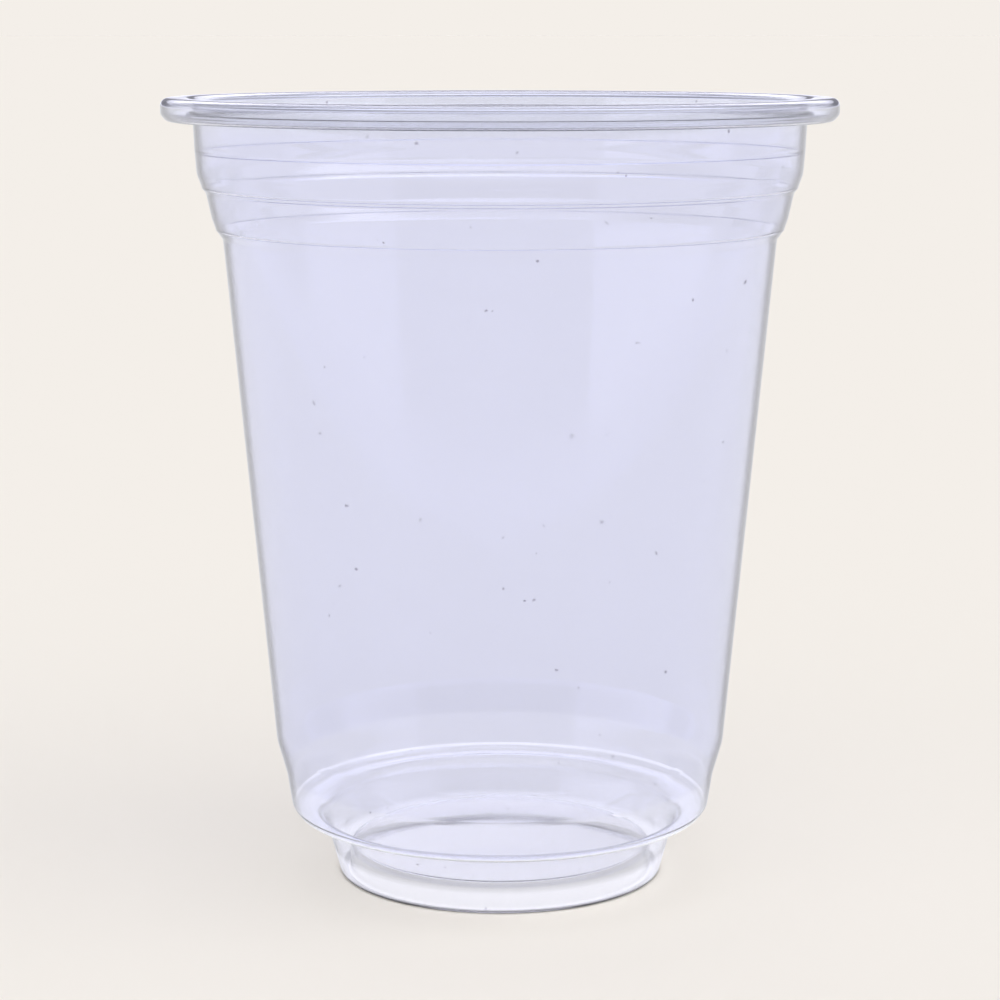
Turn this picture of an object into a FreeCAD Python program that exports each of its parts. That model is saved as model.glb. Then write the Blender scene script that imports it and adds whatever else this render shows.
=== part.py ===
import FreeCAD, Part
import math
import os

# A clear disposable cup for cold drinks, formed in one piece from thin plastic sheet.
# Millimetres and degrees. +Z is up, and the origin is the centre of the circle it stands on.
# The sheet has one thickness all over, so the section is drawn as a single line along the
# middle of the sheet, from the centre of the floor out to the tucked edge of the rim.
# Radii are worked out downwards from the rim, because cups of one family share their lid.

# Sheet. No bend takes more than this share of a straight leg beside it.
wall = 0.3
cup_height = 115.5
bend_share = 0.48

# Rim: a hollow bead, curled outwards, down and under, with its cut edge tucked up inside
rim_diameter = 98.0
bead_width = 4.45
bead_height = 3.3
bead_bend = 1.4
bead_side_drop = 2.25
bead_under_inset = 0.75
bead_under_bend = 0.9
mouth_bend = 1.1
tuck_gap = 0.5
tuck_length = 1.0
tuck_bend = 0.5

# Collar, flared towards the bead so that a stacked cup lets go again.
# Each drop is measured down from the top of the cup, each inset inwards from the collar.
collar_drop = 7.6
collar_inset = 0.35
collar_bend = 0.5

# Two steps that stiffen the mouth, with a band between them.
# Each starts as a gentle slope, turns down over a crisp edge and ends in a soft corner.
step_1_top_drop = 10.8
step_1_top_inset = 0.6
step_1_edge_drop = 12.8
step_1_edge_inset = 1.3
step_1_bottom_drop = 13.5
step_1_bottom_inset = 1.85
step_2_top_drop = 17.2
step_2_top_inset = 2.65
step_2_edge_drop = 18.8
step_2_edge_inset = 3.2
step_2_bottom_drop = 20.2
step_2_bottom_inset = 4.2
step_outer_bend = 2.2
step_edge_bend = 0.35
step_inner_bend = 1.0

# Body, tapered to a shallow step where it meets the base
body_taper = 5.23
body_bottom_height = 20.6
base_step_height = 15.6
base_step_inset = 1.4
base_step_bend = 4.0

# Base: a short tapered collar that turns under into the ledge which a stacked cup rests on
base_inset = 0.6
ledge_height = 9.55
ledge_width = 4.75
ledge_bend = 2.65

# Foot: a narrower tapered cup below the ledge, ending in the ring that the cup stands on
foot_top_bend = 3.0
foot_inset = 2.6
foot_ring_width = 1.7
foot_ring_bend = 0.55

# Floor: pushed up inside the foot, so that only the ring touches the table
floor_rise = 4.0
floor_inset = 0.1
floor_bend = 0.8


def sheet_corners():
    """Corners of the sheet's middle line: radius, height, and radius of the bend there."""
    half = wall / 2
    rim = rim_diameter / 2 - half
    top = cup_height - half
    bead_underside = cup_height - bead_height + half
    collar = rim - bead_width
    tuck = collar + wall + tuck_gap
    body_length = cup_height - step_2_bottom_drop - body_bottom_height
    body_bottom = collar - step_2_bottom_inset - body_length * math.tan(math.radians(body_taper))
    base_step = body_bottom - base_step_inset
    base = base_step - base_inset
    foot_top = base - ledge_width
    foot = foot_top - foot_inset
    ring_inner = foot - foot_ring_width + wall
    floor = ring_inner - floor_inset

    return [
        (0, floor_rise + half, 0),
        (floor, floor_rise + half, floor_bend),
        (ring_inner, half, foot_ring_bend - half),
        (foot, half, foot_ring_bend - half),
        (foot_top, ledge_height + half, foot_top_bend),
        (base, ledge_height + half, ledge_bend - half),
        (base_step, base_step_height, base_step_bend),
        (body_bottom, body_bottom_height, base_step_bend),
        (collar - step_2_bottom_inset, cup_height - step_2_bottom_drop, step_inner_bend),
        (collar - step_2_edge_inset, cup_height - step_2_edge_drop, step_edge_bend),
        (collar - step_2_top_inset, cup_height - step_2_top_drop, step_outer_bend),
        (collar - step_1_bottom_inset, cup_height - step_1_bottom_drop, step_inner_bend),
        (collar - step_1_edge_inset, cup_height - step_1_edge_drop, step_edge_bend),
        (collar - step_1_top_inset, cup_height - step_1_top_drop, step_outer_bend),
        (collar - collar_inset, cup_height - collar_drop, collar_bend),
        (collar, top, mouth_bend),
        (rim, top, bead_bend - half),
        (rim, cup_height - bead_side_drop, bead_under_bend),
        (rim - bead_under_inset, bead_underside, bead_under_bend),
        (tuck, bead_underside, tuck_bend),
        (tuck, bead_underside + tuck_length, 0),
    ]


def sheet_face(corners, offset):
    """Lines and arcs of one face of the sheet, at a distance to the right of its middle line."""
    points = [FreeCAD.Vector(radius, 0, height) for radius, height, bend in corners]
    lengths = [(after - before).Length for before, after in zip(points, points[1:])]
    legs = [(after - before).normalize() for before, after in zip(points, points[1:])]
    rights = [FreeCAD.Vector(leg.z, 0, -leg.x) for leg in legs]
    edges = []
    start = points[0] + rights[0] * offset
    for i in range(1, len(points) - 1):
        arriving, leaving = legs[i - 1], legs[i]
        half_turn = arriving.getAngle(leaving) / 2
        room = bend_share * min(lengths[i - 1], lengths[i]) / math.tan(half_turn)
        turns_left = leaving.dot(rights[i - 1]) < 0
        bend = min(corners[i][2], room) + (offset if turns_left else -offset)
        corner = points[i] + (rights[i - 1] + rights[i]) * (offset / (1 + arriving.dot(leaving)))
        inward = (leaving - arriving).normalize()
        arc_start = corner - arriving * (bend * math.tan(half_turn))
        arc_middle = corner + inward * (bend / math.cos(half_turn) - bend)
        arc_end = corner + leaving * (bend * math.tan(half_turn))
        edges.append(Part.makeLine(start, arc_start))
        edges.append(Part.Arc(arc_start, arc_middle, arc_end).toShape())
        start = arc_end
    edges.append(Part.makeLine(start, points[-1] + rights[-1] * offset))
    return edges


def make_cup():
    """The section between the sheet's two faces, turned once round the cup's axis."""
    corners = sheet_corners()
    outside = sheet_face(corners, wall / 2)
    inside = sheet_face(corners, -wall / 2)
    on_axis = Part.makeLine(outside[0].Vertexes[0].Point, inside[0].Vertexes[0].Point)
    cut_edge = Part.makeLine(outside[-1].Vertexes[-1].Point, inside[-1].Vertexes[-1].Point)
    outline = Part.Wire(outside + [cut_edge] + inside[::-1] + [on_axis])
    section = Part.Face(outline)
    return section.revolve(FreeCAD.Vector(0, 0, 0), FreeCAD.Vector(0, 0, 1), 360)


os.makedirs("parts", exist_ok=True)
make_cup().exportStep("parts/cup.step")
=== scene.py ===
import math
import bpy
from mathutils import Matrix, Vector


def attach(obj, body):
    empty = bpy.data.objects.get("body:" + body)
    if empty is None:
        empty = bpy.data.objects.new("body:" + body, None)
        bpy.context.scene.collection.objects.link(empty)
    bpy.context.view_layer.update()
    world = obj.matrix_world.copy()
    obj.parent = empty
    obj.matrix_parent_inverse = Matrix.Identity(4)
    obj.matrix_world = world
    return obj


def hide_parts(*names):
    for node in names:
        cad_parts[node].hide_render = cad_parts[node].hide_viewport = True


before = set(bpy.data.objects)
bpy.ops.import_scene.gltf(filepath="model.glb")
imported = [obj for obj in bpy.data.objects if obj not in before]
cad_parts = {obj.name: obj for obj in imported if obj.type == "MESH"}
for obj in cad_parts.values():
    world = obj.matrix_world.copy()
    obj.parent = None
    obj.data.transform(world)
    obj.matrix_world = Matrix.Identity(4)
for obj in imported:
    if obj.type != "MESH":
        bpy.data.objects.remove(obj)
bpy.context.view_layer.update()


# The cup. It is one sheet of clear polyester, 0.3 mm thick, drawn into a mould while hot, so floor,
# foot, ledge, base, body, steps and collar are the same sheet. Its rim is rolled outwards and under
# into a hollow bead while it is still warm. Heights and radii are in metres, like the frame.

mm = 0.001
sheet_thickness = 0.3 * mm
cup_height = 115.5 * mm
rim_radius = 49.0 * mm

bead_width = 4.45 * mm
bead_height = 3.3 * mm
bead_bend = 1.4 * mm
bead_side_drop = 2.25 * mm
bead_under_inset = 0.75 * mm
bead_under_bend = 0.9 * mm
mouth_bend = 1.1 * mm
tuck_gap = 0.5 * mm
tuck_length = 1.0 * mm
tuck_bend = 0.5 * mm

crease_bend = 0.35 * mm
step_bend = 2.2 * mm
body_taper = math.radians(5.23)
body_top_inset = 4.2 * mm
body_top_drop = 20.2 * mm
body_bottom_height = 20.6 * mm
base_inset = 2.0 * mm
base_bend = 6.0 * mm
ledge_width = 4.75 * mm
ledge_height = 9.55 * mm
foot_inset = 2.6 * mm
foot_bend = 3.0 * mm
ring_width = 1.7 * mm
ring_bend = 0.4 * mm
floor_rise = 4.0 * mm


def sheet_corners():
    """Corners of the middle line of the sheet: radius, height, the bend that rounds it, and the
    height of the fine ridge that a crease has."""
    half = sheet_thickness / 2
    rim = rim_radius - half
    top = cup_height - half
    underside = cup_height - bead_height + half
    collar = rim - bead_width
    tuck = collar + sheet_thickness + tuck_gap
    body_top = collar - body_top_inset
    body_top_height = cup_height - body_top_drop
    body_bottom = body_top - (body_top_height - body_bottom_height) * math.tan(body_taper)
    base = body_bottom - base_inset
    foot_top = base - ledge_width
    foot = foot_top - foot_inset
    ring_inner = foot - ring_width + sheet_thickness
    return [
        (0.0, floor_rise + half, 0.0, 0),  # middle of the floor
        (ring_inner - 0.1 * mm, floor_rise + half, 0.8 * mm, 0),  # edge of the floor
        (ring_inner, half, ring_bend, 0),  # standing ring, inside
        (foot, half, ring_bend, 0),  # standing ring, outside
        (foot_top, ledge_height + half, foot_bend, 0),  # foot into ledge
        (base - 0.9 * mm, ledge_height + half, 0.8 * mm, 0),  # outer end of the ledge
        (base - 0.15 * mm, ledge_height + 1.25 * mm, 0.6 * mm, 0),  # short slope up to the base
        (base + 0.6 * mm, 15.6 * mm, base_bend, 0),  # middle of the base
        (body_bottom, body_bottom_height, base_bend, 0),  # base into body
        (body_top, body_top_height, 1.0 * mm, 0),  # top of the body
        (collar - 3.2 * mm, cup_height - 18.8 * mm, crease_bend, 0.028 * mm),  # lower crease
        (collar - 2.65 * mm, cup_height - 17.2 * mm, step_bend, 0),  # lower step
        (collar - 1.85 * mm, cup_height - 13.5 * mm, 1.0 * mm, 0),  # end of the lower step
        (collar - 1.3 * mm, cup_height - 12.8 * mm, crease_bend, 0.026 * mm),  # middle crease
        (collar - 0.6 * mm, cup_height - 10.8 * mm, step_bend, 0),  # upper step
        (collar - 0.35 * mm, cup_height - 7.6 * mm, crease_bend, 0.026 * mm),  # crease under the collar
        (collar, top, mouth_bend, 0),  # mouth
        (rim, top, bead_bend - half, 0),  # top of the bead
        (rim, cup_height - bead_side_drop, bead_under_bend, 0),  # side of the bead
        (rim - bead_under_inset, underside, bead_under_bend, 0),  # underside of the bead
        (tuck, underside, tuck_bend, 0),  # turn up inside the bead
        (tuck, underside + tuck_length, 0.0, 0),  # cut edge
    ]


# The mesh has few rings on a straight leg, more round a bend, and the most beside a crease.
leg_step = 1.5 * mm
bend_step = math.radians(9)
crease_step = 0.05 * mm
crease_reach = 0.4 * mm
ridge_half_width = 0.28 * mm

# A bend takes a little under half of the leg on each side of it, so that two bends never meet.
bend_room = 0.48


def leg_stations(start, end, fine_start, fine_end):
    """Shares of a straight leg where the mesh has a ring. The fine rings beside a crease take a third
    of the leg at most."""
    length = (end - start).length
    fine = min(crease_reach, length / 3)
    near = [k * crease_step for k in range(round(fine / crease_step))]
    first = near if fine_start else [0.0]
    last = [length - fine + value for value in near] if fine_end else []
    low = fine if fine_start else 0.0
    high = length - fine if fine_end else length
    steps = max(1, round((high - low) / leg_step))
    if steps > 2:
        middle = [low + leg_step, high - leg_step]
    else:
        middle = [low + (high - low) * k / steps for k in range(1, steps)]
    if fine_start:
        middle.insert(0, low)
    return [value / length for value in first + middle + last]


def ridge_at(point, corners):
    """Height of the ridge at a point of the middle line."""
    for radius, height, bend, ridge in corners:
        away = (point - Vector((radius, height))).length / ridge_half_width
        if ridge > 0 and away < 1:
            return ridge * (1 + math.cos(math.pi * away)) / 2
    return 0


def sheet_line():
    """Points along the middle line, the direction to the outer face, and the height of the ridge."""
    corners = sheet_corners()
    points = [Vector((radius, height)) for radius, height, bend, ridge in corners]
    creased = [ridge > 0 for radius, height, bend, ridge in corners]
    line = []
    start = points[0]
    for i in range(1, len(points) - 1):
        arriving = (points[i] - points[i - 1]).normalized()
        leaving = (points[i + 1] - points[i]).normalized()
        turn = arriving.angle(leaving)
        shorter_leg = min((points[i] - points[i - 1]).length, (points[i + 1] - points[i]).length)
        bend = min(corners[i][2], bend_room * shorter_leg / math.tan(turn / 2))
        arc_start = points[i] - arriving * (bend * math.tan(turn / 2))
        for share in leg_stations(start, arc_start, creased[i - 1], creased[i]):
            line.append((start.lerp(arc_start, share), arriving))
        side = 1 if arriving.x * leaving.y - arriving.y * leaving.x > 0 else -1
        centre = arc_start + Vector((-arriving.y, arriving.x)) * (side * bend)
        steps = max(2, round(turn / bend_step), round(bend * turn / crease_step) if creased[i] else 0)
        for k in range(steps):
            angle = side * turn * k / steps
            turned = Vector((math.cos(angle) * arriving.x - math.sin(angle) * arriving.y,
                             math.sin(angle) * arriving.x + math.cos(angle) * arriving.y))
            line.append((centre - Vector((-turned.y, turned.x)) * (side * bend), turned))
        start = points[i] + leaving * (bend * math.tan(turn / 2))
    line += [(start, leaving), (points[-1], leaving)]
    return [(point, Vector((along.y, -along.x)), ridge_at(point, corners)) for point, along in line]


steps_round = 256


def sheet_mesh():
    """The sheet's two faces, turned round the axis and joined at the cut edge of the rim."""
    line = sheet_line()
    half = sheet_thickness / 2
    outer = [point + out * (half + ridge) for point, out, ridge in line]
    inner = [point - out * half for point, out, ridge in line]
    section = outer + inner[::-1]
    rings = section[1:-1]
    vertices = [(0, 0, section[0].y)]
    for ring in rings:
        for k in range(steps_round):
            azimuth = 2 * math.pi * k / steps_round
            vertices.append((ring.x * math.cos(azimuth), ring.x * math.sin(azimuth), ring.y))
    vertices.append((0, 0, section[-1].y))
    sides = [(k, (k + 1) % steps_round) for k in range(steps_round)]
    faces = [(0, 1 + after, 1 + before) for before, after in sides]
    for j in range(len(rings) - 1):
        low = 1 + j * steps_round
        high = low + steps_round
        faces += [(low + before, low + after, high + after, high + before) for before, after in sides]
    last = 1 + (len(rings) - 1) * steps_round
    faces += [(len(vertices) - 1, last + before, last + after) for before, after in sides]
    mesh = bpy.data.meshes.new("cup_sheet")
    mesh.from_pydata(vertices, [], faces)
    mesh.validate()
    mesh.shade_smooth()
    return mesh


def calculated(tree, operation, first, second=None):
    """Result of a sum with one or two values, each of them a number or what another node puts out."""
    node = tree.nodes.new("ShaderNodeMath")
    node.operation = operation
    for socket, value in zip(node.inputs, (first, second)):
        if isinstance(value, float):
            socket.default_value = value
        elif value is not None:
            tree.links.new(value, socket)
    return node.outputs[0]


def way_between(tree, value, lowest, highest):
    """Node that gives how far a value has come from the lowest to the highest, from 0 to 1."""
    node = tree.nodes.new("ShaderNodeMapRange")
    node.inputs["From Min"].default_value = lowest
    node.inputs["From Max"].default_value = highest
    tree.links.new(value, node.inputs["Value"])
    return node


def ramp_along(tree, value, stops):
    """Outputs of a colour ramp along a value. Each stop is a value and the colour there."""
    lowest = stops[0][0]
    highest = stops[-1][0]
    way = way_between(tree, value, lowest, highest)
    ramp = tree.nodes.new("ShaderNodeValToRGB")
    colours = ramp.color_ramp.elements
    colours[0].color = stops[0][1]
    colours[1].color = stops[-1][1]
    for place, colour in stops[1:-1]:
        colours.new((place - lowest) / (highest - lowest)).color = colour
    tree.links.new(way.outputs["Result"], ramp.inputs["Fac"])
    return ramp.outputs


def drawn_sheet_group():
    """What drawing does to a sheet: a faint unevenness, streaks down the wall, and a few tiny specks."""
    tree = bpy.data.node_groups.new("drawn_sheet", "ShaderNodeTree")
    for name, value in (("Unevenness", 1.0), ("Streaks", 0.3), ("Smooth", 0.02), ("Dull", 0.06)):
        socket = tree.interface.new_socket(name=name, in_out="INPUT", socket_type="NodeSocketFloat")
        socket.default_value = value
    for name in ("Height", "Roughness", "Speck"):
        tree.interface.new_socket(name=name, in_out="OUTPUT", socket_type="NodeSocketFloat")
    values = tree.nodes.new("NodeGroupInput").outputs
    results = tree.nodes.new("NodeGroupOutput").inputs
    place = tree.nodes.new("ShaderNodeTexCoord").outputs["Object"]

    def pattern(scale, squeeze):
        """Soft noise. Where the squeeze is below 1, its grains are longer in that direction."""
        shape = tree.nodes.new("ShaderNodeMapping")
        shape.inputs["Scale"].default_value = squeeze
        tree.links.new(place, shape.inputs["Vector"])
        noise = tree.nodes.new("ShaderNodeTexNoise")
        noise.inputs["Scale"].default_value = scale
        noise.inputs["Detail"].default_value = 0.0
        tree.links.new(shape.outputs[0], noise.inputs["Vector"])
        return noise.outputs["Fac"]

    clouds = pattern(scale=70.0, squeeze=(1, 1, 0.7))
    streaks = pattern(scale=260.0, squeeze=(1, 1, 0.04))
    uneven = calculated(tree, "MULTIPLY", clouds, values["Unevenness"])
    streaky = calculated(tree, "MULTIPLY", streaks, values["Streaks"])
    tree.links.new(calculated(tree, "ADD", uneven, streaky), results["Height"])

    rubbed = pattern(scale=120.0, squeeze=(1, 1, 0.5))
    worn = way_between(tree, rubbed, lowest=0.35, highest=0.75)
    tree.links.new(values["Smooth"], worn.inputs["To Min"])
    tree.links.new(values["Dull"], worn.inputs["To Max"])
    tree.links.new(worn.outputs["Result"], results["Roughness"])

    grains = pattern(scale=900.0, squeeze=(1, 1, 1))
    speck = way_between(tree, grains, lowest=0.882, highest=0.888)
    tree.links.new(speck.outputs["Result"], results["Speck"])
    return tree


drawn_sheet = drawn_sheet_group()
speck_colour = (0.35, 0.33, 0.38, 1)
polyester_ior = 1.57

# Where the sheet is seen edge on, its tint is darkened: painted shade that draws a dark outline along the
# wall and the standing ring.
# The floor, the upper foot and the ledge stay pale there, with only a light painted shade.
edge_from = 0.75
edge_to = 0.88
dark_painted_edge = (0.11, 0.105, 0.12, 1)
pale_painted_edge = (0.90, 0.90, 0.93, 1)

# The tint of light that has come through the sheet, from the floor up to the rim.
floor_cast = (0.97, 0.962, 0.925, 1)
ledge_cast = (0.978, 0.98, 1.0, 1)
base_cast = (0.952, 0.956, 1.0, 1)
body_cast = (0.907, 0.913, 0.987, 1)
rim_cast = (0.922, 0.93, 0.968, 1)

# Painted shade: the sheet is painted darker in a band round the edge of the floor, and a painted contact
# shadow darkens it where it stands on the table.
floor_edge_painted_shade = (0.84, 0.84, 0.86, 1)
painted_contact_shadow = (0.35, 0.34, 0.36, 1)

# Painted light: the ledge's corner and the foot, down to the standing ring, are made to glow, though no lamp
# is there.
ledge_painted_glow = (0.24, 0.24, 0.24, 1)
lower_corner_painted_glow = (0.22, 0.22, 0.21, 1)
foot_painted_glow = (0.32, 0.32, 0.36, 1)
foot_top_painted_glow = (0.06, 0.06, 0.068, 1)
ring_painted_glow = (0.12, 0.12, 0.13, 1)
no_glow = (0, 0, 0, 1)


def clear_polyester(name, casts, painted_edge_shades, painted_glows, haze=0.04, unevenness=0.02 * mm):
    """Clear sheet, with painted light. The lists hold heights, each with a colour: the tint of the sheet
    seen square on, its tint with painted shade seen edge on, and the painted glow that leaves it there."""
    material = bpy.data.materials.new(name)
    material.use_nodes = True
    tree = material.node_tree
    shader = tree.nodes["Principled BSDF"]
    shader.inputs["IOR"].default_value = polyester_ior
    shader.inputs["Transmission Weight"].default_value = 1 - haze

    place = tree.nodes.new("ShaderNodeSeparateXYZ")
    tree.links.new(tree.nodes.new("ShaderNodeTexCoord").outputs["Object"], place.inputs[0])
    height = place.outputs["Z"]

    def mixed(factor, first, second):
        mix = tree.nodes.new("ShaderNodeMix")
        mix.data_type = "RGBA"
        tree.links.new(factor, mix.inputs["Factor"])
        for side, value in (("A", first), ("B", second)):
            if isinstance(value, tuple):
                mix.inputs[side].default_value = value
            else:
                tree.links.new(value, mix.inputs[side])
        return mix.outputs["Result"]

    sheet = tree.nodes.new("ShaderNodeGroup")
    sheet.node_tree = drawn_sheet
    # Painted shade: where the sheet is seen edge on, its tint is mixed towards a darker edge tint.
    facing = tree.nodes.new("ShaderNodeLayerWeight").outputs["Facing"]
    edge = way_between(tree, facing, edge_from, edge_to)
    edge.interpolation_type = "SMOOTHSTEP"
    cast = ramp_along(tree, height, casts)["Color"]
    painted_edge_shade = ramp_along(tree, height, painted_edge_shades)["Color"]
    tint = mixed(edge.outputs["Result"], cast, painted_edge_shade)
    tree.links.new(mixed(sheet.outputs["Speck"], tint, speck_colour), shader.inputs["Base Color"])
    tree.links.new(sheet.outputs["Roughness"], shader.inputs["Roughness"])

    bump = tree.nodes.new("ShaderNodeBump")
    bump.inputs["Strength"].default_value = 1.0
    bump.inputs["Distance"].default_value = unevenness
    tree.links.new(sheet.outputs["Height"], bump.inputs["Height"])
    tree.links.new(bump.outputs["Normal"], shader.inputs["Normal"])

    # Painted glow: only the side of a face that looks out into the air glows, and it isn't used as a lamp.
    if painted_glows:
        inside_sheet = tree.nodes.new("ShaderNodeNewGeometry").outputs["Backfacing"]
        painted_glow = mixed(inside_sheet, ramp_along(tree, height, painted_glows)["Color"], no_glow)
        tree.links.new(painted_glow, shader.inputs["Emission Color"])
        shader.inputs["Emission Strength"].default_value = 1.0
        material.cycles.emission_sampling = "NONE"
    return material


corner_casts = [(9.4 * mm, ledge_cast), (10.5 * mm, base_cast)]
corner_painted_edges = [(11 * mm, pale_painted_edge), (14 * mm, dark_painted_edge)]
wall_finish = clear_polyester(
    "clear_polyester",
    casts=corner_casts + [
        (15.6 * mm, base_cast), (16.2 * mm, body_cast), (110 * mm, body_cast), (112.5 * mm, rim_cast)],
    painted_edge_shades=corner_painted_edges, painted_glows=[])
# The floor's copy has a painted shade band at the floor's edge and a painted glow low on the standing ring.
floor_finish_and_painted_light = clear_polyester(
    "clear_polyester_floor_painted_light",
    casts=[
        (3.3 * mm, floor_cast), (3.6 * mm, floor_edge_painted_shade), (3.9 * mm, floor_edge_painted_shade), (3.98 * mm, floor_cast)],
    painted_edge_shades=[(3 * mm, pale_painted_edge), (5 * mm, pale_painted_edge)],
    painted_glows=[(0.5 * mm, ring_painted_glow), (0.8 * mm, no_glow)])
# The foot's copy has a painted contact shadow where it stands, a painted glow over the foot, and more haze.
foot_finish_and_painted_light = clear_polyester(
    "clear_polyester_foot_painted_light",
    casts=[(0.15 * mm, painted_contact_shadow), (0.5 * mm, ledge_cast)],
    painted_edge_shades=[(3 * mm, dark_painted_edge), (5 * mm, pale_painted_edge)],
    painted_glows=[
        (0.3 * mm, no_glow), (0.7 * mm, foot_painted_glow), (3.2 * mm, foot_painted_glow), (4.4 * mm, foot_top_painted_glow),
        (7 * mm, foot_top_painted_glow), (9.4 * mm, no_glow)],
    haze=0.10, unevenness=0.03 * mm)
# The ledge's corner has two copies that differ only in painted glow: a painted light line on the inside
# faces and a painted glow low on the outside faces.
corner_inside_painted_glow = clear_polyester(
    "clear_polyester_corner_inside_painted_glow", casts=corner_casts, painted_edge_shades=corner_painted_edges,
    painted_glows=[
        (10.45 * mm, no_glow), (10.65 * mm, ledge_painted_glow), (11.0 * mm, ledge_painted_glow), (11.15 * mm, no_glow)])
corner_outside_painted_glow = clear_polyester(
    "clear_polyester_corner_outside_painted_glow", casts=corner_casts, painted_edge_shades=corner_painted_edges,
    painted_glows=[(10.0 * mm, lower_corner_painted_glow), (10.6 * mm, no_glow)])

ring_radius = 23.25 * mm
floor_top = 5 * mm
foot_top = 0.9 * ledge_height
corner_radius = 29.9 * mm
corner_top = 11.3 * mm


def finish_of(face):
    """The finish, with its painted light, of a face of the sheet, by where it is and, at the corner, which
    way it looks.
    """
    radius = face.center.xy.length
    if radius < ring_radius and face.center.z < floor_top:
        return floor_finish_and_painted_light
    if radius > ring_radius and face.center.z < foot_top:
        return foot_finish_and_painted_light
    if radius > corner_radius and face.center.z < corner_top:
        return corner_inside_painted_glow if face.normal.xy.dot(face.center.xy) < 0 else corner_outside_painted_glow
    return wall_finish


cup = bpy.data.objects.new("cup_sheet", sheet_mesh())
bpy.context.scene.collection.objects.link(cup)
finishes = [wall_finish, floor_finish_and_painted_light, foot_finish_and_painted_light, corner_inside_painted_glow, corner_outside_painted_glow]
for finish in finishes:
    cup.data.materials.append(finish)
for face in cup.data.polygons:
    face.material_index = finishes.index(finish_of(face))
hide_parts("cup")
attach(cup, "root")


# The table. It is a pale matt sheet that runs far past the view, so it has no edge in the picture.
# Any ray but the camera's finds the table a little less yellow, so its reflection in the cup and its look
# through the cup are a painted colour.

table_reach = 400.0
table_colour = (0.855, 0.811, 0.657, 1)
table_colour_painted_in_cup = (0.826, 0.819, 0.730, 1)

table_mesh = bpy.data.meshes.new("table")
table_corners = [(-1, -1), (1, -1), (1, 1), (-1, 1)]
table_mesh.from_pydata([(x * table_reach, y * table_reach, 0) for x, y in table_corners], [], [(0, 1, 2, 3)])
table = bpy.data.objects.new("table", table_mesh)
bpy.context.scene.collection.objects.link(table)
table_paint = bpy.data.materials.new("table_paint")
table_paint.use_nodes = True
paint_tree = table_paint.node_tree
# Painted reflection colour: rays other than the camera's see the less yellow table.
seen_straight = paint_tree.nodes.new("ShaderNodeLightPath").outputs["Is Camera Ray"]
paint_mix = paint_tree.nodes.new("ShaderNodeMix")
paint_mix.data_type = "RGBA"
paint_mix.inputs["A"].default_value = table_colour_painted_in_cup
paint_mix.inputs["B"].default_value = table_colour
paint_tree.links.new(seen_straight, paint_mix.inputs["Factor"])
paint = paint_tree.nodes["Principled BSDF"]
paint_tree.links.new(paint_mix.outputs["Result"], paint.inputs["Base Color"])
paint.inputs["Roughness"].default_value = 1.0
paint.inputs["Specular IOR Level"].default_value = 0.0
table.data.materials.append(table_paint)


# The studio. A soft box stands on each side of the cup, a dimmer one stands in front between them,
# and a white board stands behind. A key light hangs above, in front and to the right, and a little
# light comes from all round. All of it is far off, so that the table is lit evenly.

studio_tint = (0.965, 0.97, 1.13, 1)
backdrop_colour = (0.905, 0.863, 0.815, 1)

# Azimuths in degrees, from the front, with the left side below zero. Each has a list of how much of
# the front box, the side boxes, the board and the key light stands there.
around = [
    (-180, (0, 0, 1, 0)), (-160, (0, 0, 1, 0)), (-146, (0, 0, 0.3, 0)), (-130, (0, 0.4, 0.3, 0)),
    (-108, (0, 0.4, 0.3, 0)), (-102, (0, 1.2, 0, 0)), (-75, (0, 1.2, 0, 0)),
    (-43.5, (0, 1.2, 0, 0.55)), (-42, (1, 0, 0, 0.55)), (46, (1, 0, 0, 1)), (47.5, (0, 1.05, 0, 1)),
    (80, (0, 1.05, 0, 1.1)), (92, (0, 1.05, 0, 1.1)), (98, (0, 0.4, 0.3, 0.6)),
    (115, (0, 0.4, 0.3, 0)), (130, (0, 0.4, 0.3, 0)), (146, (0, 0, 0.3, 0)), (160, (0, 0, 1, 0)),
    (180, (0, 0, 1, 0))]

# Elevations in degrees. Each has a list of how bright the same four are there.
upwards = [
    (0, (0, 0, 0, 0)), (1.2, (0, 0, 0, 0)), (2.2, (0.52, 1.08, 0, 0)), (8.5, (0.55, 1.0, 0, 0)),
    (10, (0.55, 0.85, 0.8, 0)), (12.2, (0.55, 0.60, 1.0, 0)), (12.6, (0, 0.50, 1.1, 0)),
    (15, (0, 0.45, 1.3, 0)), (23, (0, 0.30, 1.3, 0)), (27, (0, 0, 1.2, 1.9)), (38, (0, 0, 0.6, 1.9)),
    (46, (0, 0, 0, 1.9)), (56, (0, 0, 0, 1.2)), (62, (0, 0, 0, 0)), (90, (0, 0, 0, 0))]

# Elevations in degrees. Each has the brightness of the light that comes from all round.
all_round = [(0, 1.2), (1.2, 1.2), (2.2, 0.35), (46, 0.35), (60, 1.0), (90, 1.0)]

# A ramp holds no value over 1, so each holds the share that a level is of this one.
full_light = 2.0

world = bpy.data.worlds.new("studio")
bpy.context.scene.world = world
world.use_nodes = True
room = world.node_tree
room.nodes.clear()


def light_ramp(angle, stops):
    """Outputs of a ramp along an angle in radians. Each stop is an angle in degrees and four levels."""
    return ramp_along(room, angle, [
        (math.radians(degrees), [level / full_light for level in four]) for degrees, four in stops])


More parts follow.
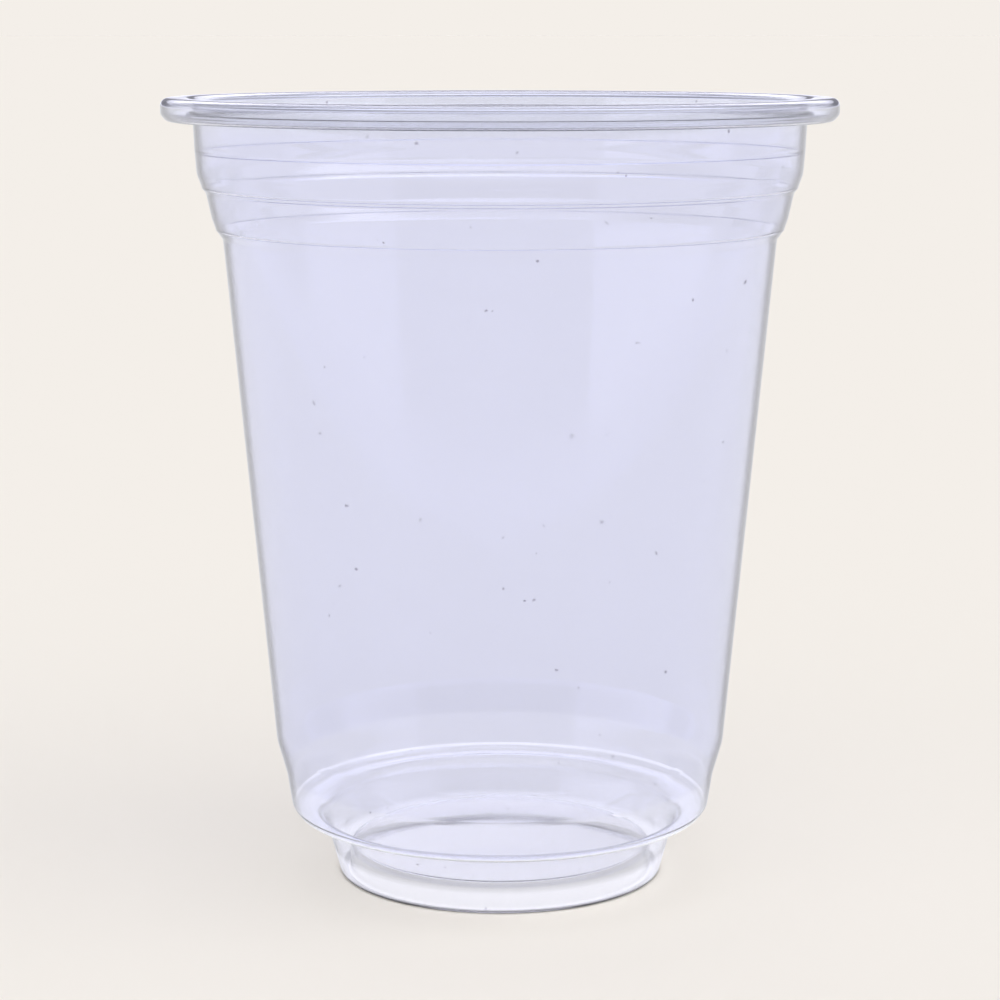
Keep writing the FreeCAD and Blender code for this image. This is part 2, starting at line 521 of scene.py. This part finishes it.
direction = room.nodes.new("ShaderNodeSeparateXYZ")
room.links.new(room.nodes.new("ShaderNodeTexCoord").outputs["Generated"], direction.inputs[0])
to_front = calculated(room, "MULTIPLY", direction.outputs["Y"], -1.0)
azimuth = calculated(room, "ARCTAN2", direction.outputs["X"], to_front)
elevation = calculated(room, "ARCSINE", direction.outputs["Z"])
shares = light_ramp(azimuth, around)
levels = light_ramp(elevation, upwards)
dim = light_ramp(elevation, [(degrees, [level] * 4) for degrees, level in all_round])
from_boxes = room.nodes.new("ShaderNodeVectorMath")
from_boxes.operation = "DOT_PRODUCT"
room.links.new(shares["Color"], from_boxes.inputs[0])
room.links.new(levels["Color"], from_boxes.inputs[1])
from_key = calculated(room, "MULTIPLY", shares["Alpha"], levels["Alpha"])
from_lights = calculated(room, "ADD", from_boxes.outputs["Value"], from_key)
from_all_round = calculated(room, "DIVIDE", dim["Alpha"], full_light)
light = calculated(room, "ADD", from_lights, from_all_round)
studio = room.nodes.new("ShaderNodeBackground")
studio.inputs["Color"].default_value = studio_tint
room.links.new(calculated(room, "MULTIPLY", light, full_light * full_light), studio.inputs["Strength"])
backdrop = room.nodes.new("ShaderNodeBackground")
backdrop.inputs["Color"].default_value = backdrop_colour
seen = room.nodes.new("ShaderNodeMixShader")
room.links.new(room.nodes.new("ShaderNodeLightPath").outputs["Is Camera Ray"], seen.inputs["Fac"])
room.links.new(studio.outputs[0], seen.inputs[1])
room.links.new(backdrop.outputs[0], seen.inputs[2])
room.links.new(seen.outputs[0], room.nodes.new("ShaderNodeOutputWorld").inputs["Surface"])

# Light is followed through up to nine faces of the sheet and isn't blurred, so it stays clear.
faces_passed = 9
light_paths = bpy.context.scene.cycles
light_paths.blur_glossy = 0.0
light_paths.max_bounces = faces_passed
light_paths.transmission_bounces = faces_passed
light_paths.glossy_bounces = 4
light_paths.diffuse_bounces = 1


# The camera. It stands 400 mm from the cup's axis, a little above the rim, and looks down at the
# body. Its tilt is in radians, and its focal length is in pixels of the picture.

camera_distance = 0.400
camera_height = 0.1245
camera_tilt = 0.1692
focal_pixels = 2728.0
picture_pixels = 1000.0
sensor_width = 36.0

camera_data = bpy.data.cameras.new("camera")
camera_data.sensor_width = sensor_width
camera_data.lens = focal_pixels / picture_pixels * sensor_width
camera_data.clip_start = 0.01
camera_data.clip_end = 200
camera = bpy.data.objects.new("camera", camera_data)
camera.location = (0, -camera_distance, camera_height)
camera.rotation_euler = (math.pi / 2 - camera_tilt, 0, 0)
bpy.context.scene.collection.objects.link(camera)
bpy.context.scene.camera = camera
bpy.context.scene.view_settings.view_transform = "Standard"
